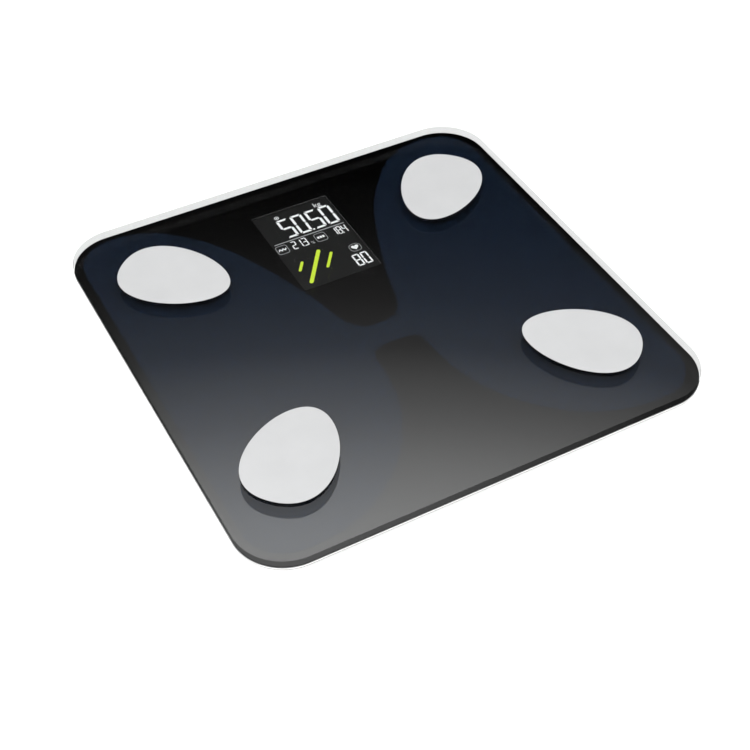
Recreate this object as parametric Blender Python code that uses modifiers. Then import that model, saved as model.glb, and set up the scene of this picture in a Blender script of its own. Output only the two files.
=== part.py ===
"""Digital bathroom scale: a square glass platform with four steel electrodes, printed on its
underside and edged from below by a thin pale rim frame. A shallow plastic tray under it holds
the display, the electronics, four batteries and a load cell with its foot at each corner.

Metres, +Z up. The origin is on the floor under the middle of the platform, +Y points to the
display side and +X to the right of someone standing on the scale.
"""

from math import cos, pi, radians, sin

import bmesh
import bpy
from mathutils import Vector
from mathutils.geometry import interpolate_bezier

# ---------------------------------------------------------------- driving dimensions
GAP = 0.0003  # clearance between pieces that touch

PLATFORM_SIDE = 0.300
PLATFORM_CORNER = 0.031
GLASS_THICK = 0.006
GLASS_ARRIS = 0.0005  # polished rounding of the glass edges
FILM_INSET = 0.0005  # clear glass rim around the print
FILM_THICK = 0.0002
RIM_INSET = 0.0002
RIM_THICK = 0.0008
TAPE_THICK = 0.0007
TAPE_WIDTH = 0.008

TRAY_SIDE = 0.270
TRAY_CORNER = 0.022
TRAY_BOTTOM = 0.004
TRAY_HEIGHT = 0.0135
TRAY_WALL = 0.002
TRAY_ROUNDING = 0.0025

FOOT_AT = 0.106  # distance of each foot from the middle, in x and in y
FOOT_RADIUS = 0.018
FOOT_THICK = 0.002
FOOT_STEM = 0.0085
FOOT_TRAVEL = 0.0008
FOOT_PAD_RADIUS = 0.017
FOOT_PAD_THICK = 0.0015

CELL_SIDE = 0.034
CELL_THICK = 0.002
CELL_BOTTOM = 0.009
RETAINER_THICK = 0.002

ELECTRODE_X = 0.0984
ELECTRODE_BACK_Y = 0.0880
ELECTRODE_FRONT_Y = -0.0852
ELECTRODE_THICK = 0.0012
STUD_RADIUS = 0.0015
STUD_HOLE = 0.0025

DISPLAY_X = 0.0
DISPLAY_Y = 0.0812
WINDOW_WIDTH = 0.0551
WINDOW_DEPTH = 0.0805
WINDOW_CORNER = 0.0012
PANEL_WIDTH = 0.060
PANEL_DEPTH = 0.086
PANEL_THICK = 0.0022
LIGHT_THICK = 0.0035
FRAME_WALL = 0.0012

BOARD_WIDTH = 0.074
BOARD_DEPTH = 0.106
BOARD_THICK = 0.0016
BOARD_Y = 0.0765
BOARD_BOTTOM = 0.0104
BOARD_SCREW_INSET = 0.003
SCREW_RADIUS = 0.0010
SCREW_HOLE = 0.0013

BATTERY_RADIUS = 0.00525
BATTERY_LENGTH = 0.0445
BATTERY_PITCH = 0.0110
BATTERY_COUNT = 4
BAY_Y = -0.020
BAY_WIDTH = 0.0446
BAY_DEPTH = 0.0485
CONTACT_THICK = 0.0004
BAY_WALL = 0.0014
BAY_FLANGE = 0.0045  # how far the thick rim around the bay reaches past its walls
DOOR_THICK = 0.0016
DOOR_LAP = 0.0030  # how far the door reaches past the bay at each end and side

BUTTON_X = 0.020
BUTTON_Y = 0.040
BUTTON_RADIUS = 0.0040
BUTTON_TRAVEL = 0.0010
SWITCH_SIDE = 0.006
SWITCH_HEIGHT = 0.0014

# ---------------------------------------------------------------- heights worked out from them
TRAY_FLOOR = TRAY_BOTTOM + TRAY_WALL
TRAY_TOP = TRAY_BOTTOM + TRAY_HEIGHT
IN_FLOOR = TRAY_BOTTOM + TRAY_WALL / 2  # inside the tray's floor, where what joins it starts
TAPE_BOTTOM = TRAY_TOP + GAP
RIM_BOTTOM = TAPE_BOTTOM + TAPE_THICK + GAP
FILM_BOTTOM = RIM_BOTTOM + RIM_THICK + GAP
GLASS_BOTTOM = FILM_BOTTOM + FILM_THICK + GAP
GLASS_TOP = GLASS_BOTTOM + GLASS_THICK
ELECTRODE_BOTTOM = GLASS_TOP + GAP
BOARD_TOP = BOARD_BOTTOM + BOARD_THICK
CELL_TOP = CELL_BOTTOM + CELL_THICK
PANEL_BOTTOM = FILM_BOTTOM - GAP - PANEL_THICK
LIGHT_BOTTOM = BOARD_TOP + GAP
SWITCH_BOTTOM = BOARD_BOTTOM - GAP - SWITCH_HEIGHT
BATTERY_Z = TRAY_BOTTOM + DOOR_THICK + GAP + BATTERY_RADIUS
CORNERS = (("back_left", -1, 1), ("back_right", 1, 1), ("front_left", -1, -1), ("front_right", 1, -1))

ARC_STEPS = 10
WELD = 1e-6
SHARP = radians(45)


# ---------------------------------------------------------------- scene and materials
def clear_scene():
    for obj in list(bpy.data.objects):
        bpy.data.objects.remove(obj, do_unlink=True)


def new_collection(name):
    collection = bpy.data.collections.new(name)
    bpy.context.scene.collection.children.link(collection)
    return collection


def material(name, colour, roughness, metallic=0.0, transmission=0.0):
    made = bpy.data.materials.new(name)
    made.use_nodes = True
    shader = made.node_tree.nodes["Principled BSDF"]
    shader.inputs["Base Color"].default_value = (*colour, 1.0)
    shader.inputs["Roughness"].default_value = roughness
    shader.inputs["Metallic"].default_value = metallic
    shader.inputs["Transmission Weight"].default_value = transmission
    return made


def place(obj, collection, surface=None):
    """Links an object to a collection and gives it its material."""
    collection.objects.link(obj)
    if surface is not None:
        obj.data.materials.clear()
        obj.data.materials.append(surface)
    return obj


# ---------------------------------------------------------------- outlines
def arc(centre_x, centre_y, radius, start, end, steps):
    """Points of an arc, angles in degrees, both ends included."""
    turns = [radians(start + (end - start) * i / steps) for i in range(steps + 1)]
    return [(centre_x + radius * cos(t), centre_y + radius * sin(t)) for t in turns]


def rounded_rect(width, depth, radius, at=(0.0, 0.0), steps=ARC_STEPS):
    dx, dy = width / 2 - radius, depth / 2 - radius
    points = []
    for quarter, (sx, sy) in enumerate(((1, 1), (-1, 1), (-1, -1), (1, -1))):
        start = 90 * quarter
        points += arc(at[0] + sx * dx, at[1] + sy * dy, radius, start, start + 90, steps)
    return points


def circle(radius, at, steps):
    return arc(at[0], at[1], radius, 0, 360, steps)[:-1]


def egg_outline(steps=12):
    """Outline of an electrode: a blunt end at +X, a narrower end at -X, widest between them."""
    blunt, widest_x, half_width, narrow = 0.0331, 0.0038, 0.0266, -0.0393
    knots = (
        ((blunt, 0.0), (0.0, 0.0183), (0.0, -0.0183)),
        ((widest_x, half_width), (-0.0207, 0.0), (0.0169, 0.0)),
        ((narrow, 0.0), (0.0, -0.0138), (0.0, 0.0138)),
        ((widest_x, -half_width), (0.0169, 0.0), (-0.0207, 0.0)),
    )
    points = []
    for (start, leaving, _), (end, _, arriving) in zip(knots, knots[1:] + knots[:1]):
        a, b = Vector(start), Vector(end)
        run = interpolate_bezier(a, a + Vector(leaving), b + Vector(arriving), b, steps + 1)
        points += [(p.x, p.y) for p in run[:-1]]
    return points


# ---------------------------------------------------------------- solids
def new_solid(name, bm):
    bmesh.ops.recalc_face_normals(bm, faces=bm.faces)
    mesh = bpy.data.meshes.new(name)
    bm.to_mesh(mesh)
    bm.free()
    return bpy.data.objects.new(name, mesh)


def slab(name, loops, bottom, thick):
    """A flat piece from 2D outlines, the first one its edge and the others its holes."""
    curve = bpy.data.curves.new(name + "_outline", "CURVE")
    curve.dimensions = "2D"
    curve.fill_mode = "BOTH"
    curve.extrude = thick / 2
    for loop in loops:
        spline = curve.splines.new("POLY")
        spline.points.add(len(loop) - 1)
        spline.use_cyclic_u = True
        for point, (x, y) in zip(spline.points, loop):
            point.co = (x, y, 0.0, 1.0)
    outline = bpy.data.objects.new(name + "_outline", curve)
    outline.location.z = bottom + thick / 2
    bpy.context.scene.collection.objects.link(outline)
    bpy.context.view_layer.update()
    graph = bpy.context.evaluated_depsgraph_get()
    mesh = bpy.data.meshes.new_from_object(outline.evaluated_get(graph))
    bm = bmesh.new()
    bm.from_mesh(mesh)
    bmesh.ops.remove_doubles(bm, verts=bm.verts, dist=WELD)
    solid = new_solid(name, bm)
    solid.matrix_world = outline.matrix_world
    bpy.data.objects.remove(outline, do_unlink=True)
    bpy.data.meshes.remove(mesh)
    return solid


def box(name, size, centre):
    bm = bmesh.new()
    bmesh.ops.create_cube(bm, size=1.0)
    bmesh.ops.scale(bm, vec=size, verts=bm.verts)
    solid = new_solid(name, bm)
    solid.location = centre
    return solid


def rod(name, radius, bottom, top, at, steps=24):
    bm = bmesh.new()
    bmesh.ops.create_cone(
        bm, cap_ends=True, segments=steps, radius1=radius, radius2=radius, depth=top - bottom
    )
    solid = new_solid(name, bm)
    solid.location = (at[0], at[1], (bottom + top) / 2)
    return solid


def turned(name, profile, steps):
    """A turned piece: the profile's (radius, height) points run from the top down its outside."""
    bm = bmesh.new()
    verts = [bm.verts.new((radius, 0.0, height)) for radius, height in profile]
    for a, b in zip(verts, verts[1:]):
        bm.edges.new((a, b))
    mesh = bpy.data.meshes.new(name)
    bm.to_mesh(mesh)
    bm.free()
    solid = bpy.data.objects.new(name, mesh)
    screw = solid.modifiers.new("turn", "SCREW")
    screw.steps = steps
    screw.render_steps = steps
    screw.use_merge_vertices = True
    screw.merge_threshold = 1e-5
    screw.use_smooth_shade = True
    return solid


def bevel_edges(obj, chosen, width, segments):
    """Rounds the sharp edges that a test on their two ends picks, in the object's own frame."""
    bm = bmesh.new()
    bm.from_mesh(obj.data)
    sharp = [e for e in bm.edges if e.calc_face_angle(0.0) > SHARP]
    edges = [e for e in sharp if chosen(e.verts[0].co, e.verts[1].co)]
    bmesh.ops.bevel(
        bm,
        geom=edges,
        offset=width,
        segments=segments,
        profile=0.5,
        affect="EDGES",
        clamp_overlap=True,
    )
    bmesh.ops.recalc_face_normals(bm, faces=bm.faces)
    bm.to_mesh(obj.data)
    bm.free()


def round_rims(obj, height, width, segments=2, top=True, bottom=False):
    """Rounds the top and bottom rims of a slab whose own origin is at its mid height."""

    def on_rim(a, b):
        up = top and min(a.z, b.z) > height / 2 - WELD
        down = bottom and max(a.z, b.z) < WELD - height / 2
        return up or down

    bevel_edges(obj, on_rim, width, segments)


def shade(obj, angle=35):
    obj.data.shade_smooth()
    obj.data.set_sharp_from_angle(angle=radians(angle))


def boolean(obj, other, operation):
    other.hide_render = True
    other.display_type = "WIRE"
    if not other.users_collection:
        cutters.objects.link(other)
    step = obj.modifiers.new(other.name, "BOOLEAN")
    step.operation = operation
    step.object = other
    step.solver = "EXACT"


def wire(name, points, radius, surface):
    """A lead: a round tube along a smooth curve through its route's points."""
    route = [Vector(p) for p in points]
    ends = [route[0] * 2 - route[1]] + route + [route[-1] * 2 - route[-2]]
    path = []
    for before, a, b, after in zip(ends, ends[1:], ends[2:], ends[3:]):
        path += interpolate_bezier(a, a + (b - before) / 6, b - (after - a) / 6, b, 4)[:-1]
    path.append(route[-1])
    curve = bpy.data.curves.new(name, "CURVE")
    curve.dimensions = "3D"
    curve.bevel_depth = radius
    curve.bevel_resolution = 2
    curve.use_fill_caps = True
    spline = curve.splines.new("POLY")
    spline.points.add(len(path) - 1)
    for point, at in zip(spline.points, path):
        point.co = (*at, 1.0)
    return place(bpy.data.objects.new(name, curve), parts, surface)


# ---------------------------------------------------------------- the platform
def make_platform():
    stud_holes = [circle(STUD_HOLE, at, 16) for _, at, _ in electrode_places()]
    side = PLATFORM_SIDE
    edge = rounded_rect(side, side, PLATFORM_CORNER, steps=14)
    glass = slab("glass_platform", [edge] + stud_holes, GLASS_BOTTOM, GLASS_THICK)

    def on_outer_rim(a, b):
        reach = min(max(abs(a.x), abs(a.y)), max(abs(b.x), abs(b.y)))
        return reach > side / 2 - PLATFORM_CORNER and abs(a.z - b.z) < WELD

    bevel_edges(glass, on_outer_rim, GLASS_ARRIS, 2)
    place(glass, parts, glass_clear)
    shade(glass)

    side = PLATFORM_SIDE - 2 * FILM_INSET
    edge = rounded_rect(side, side, PLATFORM_CORNER - FILM_INSET, steps=14)
    window = rounded_rect(WINDOW_WIDTH, WINDOW_DEPTH, WINDOW_CORNER, (DISPLAY_X, DISPLAY_Y), 3)
    film = slab("print_film", [edge, window] + stud_holes, FILM_BOTTOM, FILM_THICK)
    place(film, parts, ink_black)

    inner_side = TRAY_SIDE - 2 * TAPE_WIDTH
    inner = rounded_rect(inner_side, inner_side, TRAY_CORNER - TAPE_WIDTH)
    side = PLATFORM_SIDE - 2 * RIM_INSET
    edge = rounded_rect(side, side, PLATFORM_CORNER - RIM_INSET, steps=14)
    place(slab("rim_frame", [edge, inner], RIM_BOTTOM, RIM_THICK), parts, abs_white)
    outer = rounded_rect(TRAY_SIDE, TRAY_SIDE, TRAY_CORNER)
    place(slab("platform_tape", [outer, inner], TAPE_BOTTOM, TAPE_THICK), parts, foam_white)


def electrode_places():
    """Name, place and turn of each electrode: its blunt end points to its corner."""
    found = []
    for name, sx, sy in CORNERS:
        y = ELECTRODE_BACK_Y if sy > 0 else ELECTRODE_FRONT_Y
        turn = {(1, 1): 45, (-1, 1): 135, (-1, -1): 225, (1, -1): 315}[(sx, sy)]
        found.append((name, (sx * ELECTRODE_X, y), radians(turn)))
    return found


def make_electrodes():
    stud_bottom = FILM_BOTTOM - GAP
    for name, at, turn in electrode_places():
        plate = slab("electrode_" + name, [egg_outline()], ELECTRODE_BOTTOM, ELECTRODE_THICK)
        round_rims(plate, ELECTRODE_THICK, 0.0004)
        height = plate.location.z
        plate.location = (*at, height)
        plate.rotation_euler.z = turn
        stud = rod("stud_" + name, STUD_RADIUS, stud_bottom, ELECTRODE_BOTTOM + 0.0006, at, 12)
        boolean(plate, stud, "UNION")
        place(plate, parts, steel_satin)
        shade(plate)


# ---------------------------------------------------------------- the tray
def tray_block(name, loops, bottom, thick, operation):
    boolean(tray, slab(name, loops, bottom, thick), operation)


def board_screw_places():
    dx, dy = BOARD_WIDTH / 2 - BOARD_SCREW_INSET, BOARD_DEPTH / 2 - BOARD_SCREW_INSET
    return [(name, (DISPLAY_X + sx * dx, BOARD_Y + sy * dy)) for name, sx, sy in CORNERS]


def make_tray_shell():
    edge = rounded_rect(TRAY_SIDE, TRAY_SIDE, TRAY_CORNER)
    shell = slab("base_tray", [edge], TRAY_BOTTOM, TRAY_HEIGHT)
    round_rims(shell, TRAY_HEIGHT, TRAY_ROUNDING, 3, top=False, bottom=True)
    inner_side = TRAY_SIDE - 2 * TRAY_WALL
    inner = rounded_rect(inner_side, inner_side, TRAY_CORNER - TRAY_WALL)
    boolean(shell, slab("tray_hollow", [inner], TRAY_FLOOR, TRAY_HEIGHT), "DIFFERENCE")
    return shell


def add_tray_ribs():
    """Low ribs that stiffen the floor, clear of the corner pockets, the bay and the board."""
    rib, height, sunk = 0.0014, 0.0026, 0.0008
    long_side, beside_bay, cross = 0.168, 0.046, 0.062
    runs = (
        (long_side, rib, 0.0, -0.070),
        (rib, long_side, -0.058, 0.0),
        (rib, long_side, 0.058, 0.0),
        (cross, rib, -beside_bay - cross / 2 + 0.010, -0.020),
        (cross, rib, beside_bay + cross / 2 - 0.010, -0.020),
    )
    for number, (width, depth, x, y) in enumerate(runs, 1):
        z = TRAY_FLOOR + height / 2 - sunk / 2
        boolean(tray, box(f"tray_rib_{number}", (width, depth, height + sunk), (x, y, z)), "UNION")


def add_corner_pockets():
    """At each corner: a ledge with the stem's hole, a wall round the load cell, a foot recess."""
    wall_out, wall_in, play = CELL_SIDE + 0.0050, CELL_SIDE + 0.0008, 0.0015
    ledge_top = CELL_BOTTOM - GAP
    wall_top = CELL_TOP + 0.0015
    for name, sx, sy in CORNERS:
        at = (sx * FOOT_AT, sy * FOOT_AT)
        outer = rounded_rect(wall_out, wall_out, 0.003, at, 3)
        inner = rounded_rect(wall_in, wall_in, 0.0025, at, 3)
        tray_block("cell_ledge_" + name, [outer], IN_FLOOR, ledge_top - IN_FLOOR, "UNION")
        tray_block("cell_wall_" + name, [outer, inner], TRAY_FLOOR, wall_top - TRAY_FLOOR, "UNION")
        recess = rod("foot_recess_" + name, FOOT_RADIUS + play, 0.0, IN_FLOOR, at, 32)
        boolean(tray, recess, "DIFFERENCE")
        hole = rod("stem_hole_" + name, FOOT_STEM + play, 0.0, CELL_TOP, at, 24)
        boolean(tray, hole, "DIFFERENCE")


def add_board_posts():
    for name, at in board_screw_places():
        post = rod("board_post_" + name, 0.0030, TRAY_FLOOR - 0.0010, BOARD_BOTTOM - GAP, at, 16)
        boolean(tray, post, "UNION")
        pilot = rod("board_pilot_" + name, SCREW_HOLE, TRAY_FLOOR + 0.0008, BOARD_TOP, at, 10)
        boolean(tray, pilot, "DIFFERENCE")


def add_battery_bay():
    """A box with a roof, open below, and the stepped rim that the door closes."""
    at = (0.0, BAY_Y)
    wide, deep = BAY_WIDTH + 2 * BAY_WALL, BAY_DEPTH + 2 * BAY_WALL
    rim = 2 * BAY_FLANGE
    walls = rounded_rect(wide, deep, 0.0015, at, 2)
    flange = rounded_rect(wide + rim, deep + rim, 0.003, at, 3)
    flange_thick, roof = 0.0030, 0.0008
    tray_block("bay_flange", [flange], IN_FLOOR, flange_thick, "UNION")
    tray_block("bay_block", [walls], IN_FLOOR, TRAY_TOP - IN_FLOOR, "UNION")
    hollow = rounded_rect(BAY_WIDTH, BAY_DEPTH, 0.001, at, 2)
    tray_block("bay_hollow", [hollow], 0.0, TRAY_TOP - roof, "DIFFERENCE")
    door_wide, door_deep = BAY_WIDTH + 2 * DOOR_LAP, BAY_DEPTH + 2 * DOOR_LAP
    seat = rounded_rect(door_wide + 2 * GAP, door_deep + 2 * GAP, 0.0004, at, 2)
    tray_block("door_seat", [seat], 0.0, TRAY_BOTTOM + DOOR_THICK + 0.0002, "DIFFERENCE")
    notch = rounded_rect(0.016, 0.008, 0.0035, (0.0, BAY_Y + door_deep / 2 + 0.0025), 4)
    tray_block("finger_notch", [notch], 0.0, TRAY_BOTTOM + 0.0013, "DIFFERENCE")
    for name, x in battery_lead_places():
        hole = rod("lead_hole_" + name, 0.0013, -0.003, 0.003, (0.0, 0.0), 10)
        hole.rotation_euler.x = pi / 2
        hole.location = (x, BAY_Y + BAY_DEPTH / 2 + BAY_WALL / 2, BATTERY_Z)
        boolean(tray, hole, "DIFFERENCE")


def add_button_hole():
    at = (BUTTON_X, BUTTON_Y)
    boolean(tray, rod("button_hole", BUTTON_RADIUS + GAP, 0.0, TRAY_TOP, at), "DIFFERENCE")
    dish = turned("button_dish", ((0.0, 0.0006), (0.0075, 0.0), (0.0075, -0.004), (0.0, -0.004)), 24)
    dish.location = (*at, TRAY_BOTTOM)
    boolean(tray, dish, "DIFFERENCE")


def add_underside_relief():
    """A stiffening groove round the underside and a shallow blank recess where a label would go."""
    inset, width, depth = 0.0110, 0.0016, 0.0006
    outer_side = TRAY_SIDE - 2 * inset
    inner_side = outer_side - 2 * width
    outer = rounded_rect(outer_side, outer_side, TRAY_CORNER - inset / 2, steps=6)
    inner = rounded_rect(inner_side, inner_side, TRAY_CORNER - inset / 2 - width, steps=6)
    below, label_depth = 0.002, 0.0004
    tray_block("edge_groove", [outer, inner], TRAY_BOTTOM - below, below + depth, "DIFFERENCE")
    label = rounded_rect(0.074, 0.034, 0.003, (0.0, -0.098), 4)
    tray_block("label_recess", [label], TRAY_BOTTOM - below, below + label_depth, "DIFFERENCE")


# ---------------------------------------------------------------- feet and load cells
def make_corner_units():
    stem_top = CELL_BOTTOM - FOOT_TRAVEL - GAP
    foot_bottom = FOOT_PAD_THICK + GAP
    foot_top = foot_bottom + FOOT_THICK
    rim = 0.0006
    foot_profile = (
        (0.0, stem_top),
        (FOOT_STEM - rim, stem_top),
        (FOOT_STEM, stem_top - rim),
        (FOOT_STEM, foot_top),
        (FOOT_RADIUS - rim, foot_top),
        (FOOT_RADIUS, foot_top - rim),
        (FOOT_RADIUS, foot_bottom),
        (0.0, foot_bottom),
    )
    groove_in, groove_out, groove_deep = 0.0100, 0.0112, 0.0006
    pad_profile = (
        (0.0, FOOT_PAD_THICK),
        (FOOT_PAD_RADIUS, FOOT_PAD_THICK),
        (FOOT_PAD_RADIUS, 0.0005),
        (FOOT_PAD_RADIUS - 0.0005, 0.0),
        (groove_out, 0.0),
        (groove_out, groove_deep),
        (groove_in, groove_deep),
        (groove_in, 0.0),
        (0.0, 0.0),
    )
    for name, sx, sy in CORNERS:
        at = (sx * FOOT_AT, sy * FOOT_AT)
        foot = place(turned("foot_" + name, foot_profile, 32), parts, abs_grey)
        foot.location = (*at, 0.0)
        pad = place(turned("foot_pad_" + name, pad_profile, 28), parts, rubber_black)
        pad.location = (*at, 0.0)
        make_load_cell(name, at, sx)
        opening = rounded_rect(0.022, 0.022, 0.002, at, 2)
        retainer_side = CELL_SIDE + 0.0002
        edge = rounded_rect(retainer_side, retainer_side, 0.0025, at, 3)
        retainer = slab("cell_retainer_" + name, [edge, opening], CELL_TOP + GAP, RETAINER_THICK)
        place(retainer, parts, abs_white)


def make_load_cell(name, at, side):
    """A square steel plate with a U-shaped slot that frees a tongue in its middle."""
    half_tongue, slot, reach = 0.0070, 0.0018, 0.0100
    outer = half_tongue + slot
    u_slot = [
        (-outer, -reach - slot),
        (outer, -reach - slot),
        (outer, reach),
        (half_tongue, reach),
        (half_tongue, -reach),
        (-half_tongue, -reach),
        (-half_tongue, reach),
        (-outer, reach),
    ]
    u_slot = [(at[0] + side * y, at[1] + x) for x, y in u_slot]
    edge = rounded_rect(CELL_SIDE, CELL_SIDE, 0.0025, at, 3)
    place(slab("load_cell_" + name, [edge, u_slot], CELL_BOTTOM, CELL_THICK), parts, steel_plated)


# ---------------------------------------------------------------- display and electronics
def make_display():
    at = (DISPLAY_X, DISPLAY_Y)
    panel_centre = (*at, PANEL_BOTTOM + PANEL_THICK / 2)
    panel = box("display_panel", (PANEL_WIDTH, PANEL_DEPTH, PANEL_THICK), panel_centre)
    place(panel, parts, lcd_dark)
    light_size = (PANEL_WIDTH - 0.001, PANEL_DEPTH - 0.001, LIGHT_THICK)
    light = box("display_backlight", light_size, (*at, LIGHT_BOTTOM + LIGHT_THICK / 2))
    place(light, parts, diffuser_white)
    inner = rounded_rect(PANEL_WIDTH + 2 * GAP, PANEL_DEPTH + 2 * GAP, 0.0003, at, 1)
    wall = 2 * (FRAME_WALL + GAP)
    outer = rounded_rect(PANEL_WIDTH + wall, PANEL_DEPTH + wall, 0.0012, at, 3)
    top = PANEL_BOTTOM + PANEL_THICK
    frame = slab("display_frame", [outer, inner], BOARD_TOP + GAP, top - BOARD_TOP - GAP)
    place(frame, parts, abs_black)


def make_board():
    edge = rounded_rect(BOARD_WIDTH, BOARD_DEPTH, 0.002, (DISPLAY_X, BOARD_Y), 3)
    holes = [circle(SCREW_HOLE, at, 12) for _, at in board_screw_places()]
    place(slab("main_board", [edge] + holes, BOARD_BOTTOM, BOARD_THICK), parts, board_green)
    head, head_height, shank_end = 0.0019, 0.0012, TRAY_FLOOR + 0.0012
    seat = BOARD_TOP + GAP
    profile = (
        (0.0, seat + head_height),
        (head * 0.6, seat + head_height),
        (head, seat + head_height * 0.4),
        (head, seat),
        (SCREW_RADIUS, seat),
        (SCREW_RADIUS, shank_end + 0.001),
        (0.0, shank_end),
    )
    for name, at in board_screw_places():
        screw = place(turned("board_screw_" + name, profile, 12), parts, steel_plated)
        screw.location = (*at, 0.0)
    chip_size = (0.0090, 0.0070, 0.0012)
    front_strip = BOARD_Y - BOARD_DEPTH / 2 + 0.0052
    chip_at = (DISPLAY_X - 0.012, front_strip, BOARD_TOP + GAP + chip_size[2] / 2)
    place(box("controller_chip", chip_size, chip_at), parts, epoxy_black)
    switch_size = (SWITCH_SIDE, SWITCH_SIDE, SWITCH_HEIGHT)
    switch_at = (BUTTON_X, BUTTON_Y, SWITCH_BOTTOM + SWITCH_HEIGHT / 2)
    place(box("unit_switch", switch_size, switch_at), parts, abs_black)


def make_unit_button():
    """It is held in by a flange, and its nub presses the switch at the end of its travel."""
    flange, nub = BUTTON_RADIUS + 0.0015, 0.0018
    flange_bottom = TRAY_FLOOR + GAP
    flange_top = flange_bottom + 0.0008
    nub_top = SWITCH_BOTTOM - BUTTON_TRAVEL - GAP
    lip, face = 0.0004, TRAY_BOTTOM + 0.0002
    profile = (
        (0.0, nub_top),
        (nub, nub_top),
        (nub, flange_top),
        (flange, flange_top),
        (flange, flange_bottom),
        (BUTTON_RADIUS, flange_bottom),
        (BUTTON_RADIUS, face + lip),
        (BUTTON_RADIUS - lip, face),
        (0.0, face),
    )
    button = place(turned("unit_button", profile, 24), parts, abs_grey)
    button.location = (BUTTON_X, BUTTON_Y, 0.0)


# ---------------------------------------------------------------- batteries
def battery_xs():
    first = -BATTERY_PITCH * (BATTERY_COUNT - 1) / 2
    return [first + i * BATTERY_PITCH for i in range(BATTERY_COUNT)]


def battery_lead_places():
    xs = battery_xs()
    return (("positive", xs[0]), ("negative", xs[-1]))


def make_batteries():
    nub, nub_radius, shoulder = 0.0010, 0.0019, 0.0006
    half = BATTERY_LENGTH / 2
    profile = (
        (0.0, half),
        (nub_radius, half),
        (nub_radius, half - nub),
        (BATTERY_RADIUS - shoulder, half - nub),
        (BATTERY_RADIUS, half - nub - shoulder),
        (BATTERY_RADIUS, -half + shoulder),
        (BATTERY_RADIUS - shoulder, -half),
        (0.0, -half),
    )
    against_contact = BAY_DEPTH / 2 - 2 * GAP - CONTACT_THICK - half
    for number, x in enumerate(battery_xs(), 1):
        nub_way = 1 if number % 2 else -1
        cell = place(turned(f"battery_{number}", profile, 20), parts, battery_jacket)
        cell.location = (x, BAY_Y + nub_way * against_contact, BATTERY_Z)
        cell.rotation_euler.x = -nub_way * pi / 2


def make_contacts():
    """Sprung plates in series: two ends at the back, one bridge behind, two bridges in front."""
    xs = battery_xs()
    plate_wide = 0.0084
    back = BAY_Y + BAY_DEPTH / 2 - GAP - CONTACT_THICK / 2
    front = BAY_Y - BAY_DEPTH / 2 + GAP + CONTACT_THICK / 2
    places = (
        ("contact_positive", xs[:1], back, ()),
        ("contact_bridge_back", xs[1:3], back, xs[1:2]),
        ("contact_negative", xs[3:], back, xs[3:]),
        ("contact_bridge_left", xs[:2], front, xs[:1]),
        ("contact_bridge_right", xs[2:], front, xs[2:3]),
    )
    coil = BAY_DEPTH - BATTERY_LENGTH - 3 * GAP - 2 * CONTACT_THICK - 2 * GAP
    spring_profile = (
        (0.0, coil),
        (0.0016, coil),
        (0.0022, coil * 0.66),
        (0.0018, coil * 0.5),
        (0.0028, coil * 0.2),
        (0.0026, -CONTACT_THICK / 2),
        (0.0, -CONTACT_THICK / 2),
    )
    for name, columns, y, sprung in places:
        width = plate_wide + columns[-1] - columns[0]
        middle = (columns[0] + columns[-1]) / 2
        plate = box(name, (width, CONTACT_THICK, plate_wide), (middle, y, BATTERY_Z))
        inward = -1 if y == back else 1
        for x in sprung:
            spring = turned(name + "_spring", spring_profile, 12)
            spring.rotation_euler.x = -inward * pi / 2
            spring.location = (x, y, BATTERY_Z)
            boolean(plate, spring, "UNION")
        place(plate, parts, steel_plated)


def make_door():
    """The battery door: a round hinge edge in front, a low catch and finger grooves at the back."""
    half, corner = DOOR_THICK / 2, 0.0011
    side = BAY_WIDTH / 2 + DOOR_LAP
    length = BAY_DEPTH + 2 * DOOR_LAP - half
    hinge_y = BAY_Y - BAY_DEPTH / 2 - DOOR_LAP + half
    edge = [(-side, -half), (side, -half)]
    edge += arc(side - corner, length - corner, corner, 0, 90, 3)
    edge += arc(corner - side, length - corner, corner, 90, 180, 3)
    door = slab("battery_door", [edge], -half, DOOR_THICK)

    def on_hinge_edge(a, b):
        return max(a.y, b.y) < WELD - half and abs(a.z - b.z) < WELD

    bevel_edges(door, on_hinge_edge, half * 0.96, 3)
    catch_size = (0.010, 0.0012, half + 0.0009)
    catch_y = length - DOOR_LAP - catch_size[1] / 2 - GAP
    catch = box("door_catch", catch_size, (0.0, catch_y, catch_size[2] / 2))
    catch.parent = door
    boolean(door, catch, "UNION")
    groove_size = (0.016, 0.0010, 0.0010)
    for number in range(3):
        groove_y = length - 0.0040 - 0.0022 * number
        groove = box(f"door_groove_{number + 1}", groove_size, (0.0, groove_y, -half))
        groove.parent = door
        boolean(door, groove, "DIFFERENCE")
    door.location = (0.0, hinge_y, TRAY_BOTTOM + half)
    place(door, parts, abs_white)


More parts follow.
